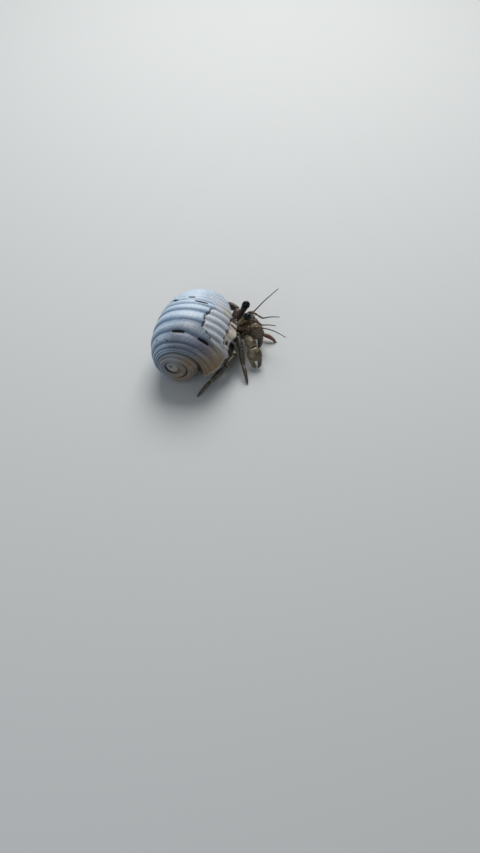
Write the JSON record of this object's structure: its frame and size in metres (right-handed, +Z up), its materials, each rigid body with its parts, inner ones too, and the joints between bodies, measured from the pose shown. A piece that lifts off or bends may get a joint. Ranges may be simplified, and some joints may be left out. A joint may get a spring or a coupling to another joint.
{
  "type": "hermit crab",
  "caption": "Land hermit crab walking in a borrowed ribbed tun-shaped snail shell, with stalked eyes, a larger left claw, bent walking legs and long feelers.",
  "frame": {"origin": "on the floor, in the middle of the model's footprint", "axes": "+X the way the crab faces, +Y its left side, +Z up"},
  "size_m": [0.0357, 0.0336, 0.0178],
  "materials": {
    "shell": "worn chalky aragonite with a faint sheen",
    "cornea": "wet-looking black cornea",
    "soft_skin": "thin soft skin",
    "shield": "hard smooth cuticle with fine bristles",
    "feeler": "ringed flexible cuticle",
    "claw": "hard granular cuticle",
    "leg_tip": "dark worn cuticle points",
    "limb": "hard mottled cuticle with fine bristles"
  },
  "bodies": {
    "root": {"abdomen_front": "soft_skin", "abdomen_middle": "soft_skin", "abdomen_tail": "soft_skin", "abdomen_waist": "soft_skin", "antenna_left_flagellum": "feeler", "antenna_left_peduncle": "feeler", "antenna_right_flagellum": "feeler", "antenna_right_peduncle": "feeler", "antennule_left_flagellum": "feeler", "antennule_left_peduncle": "feeler", "antennule_right_flagellum": "feeler", "antennule_right_peduncle": "feeler", "carapace_shield": "shield", "cheliped_left_carpus": "claw", "cheliped_left_finger": "claw", "cheliped_left_merus": "limb", "cheliped_left_palm": "claw", "cheliped_right_carpus": "claw", "cheliped_right_finger": "claw", "cheliped_right_merus": "limb", "cheliped_right_palm": "claw", "eye_left": "cornea", "eye_right": "cornea", "eyestalk_left": "shield", "eyestalk_right": "shield", "leg2_left_carpus": "limb", "leg2_left_dactyl": "leg_tip", "leg2_left_merus": "limb", "leg2_left_propodus": "limb", "leg2_right_carpus": "limb", "leg2_right_dactyl": "leg_tip", "leg2_right_merus": "limb", "leg2_right_propodus": "limb", "leg3_left_carpus": "limb", "leg3_left_dactyl": "leg_tip", "leg3_left_merus": "limb", "leg3_left_propodus": "limb", "leg3_right_carpus": "limb", "leg3_right_dactyl": "leg_tip", "leg3_right_merus": "limb", "leg3_right_propodus": "limb", "leg4_left": "limb", "leg4_right": "limb", "maxilliped_left": "limb", "maxilliped_right": "limb", "shell": "shell", "thorax": "limb"}
  },
  "joints": []
}
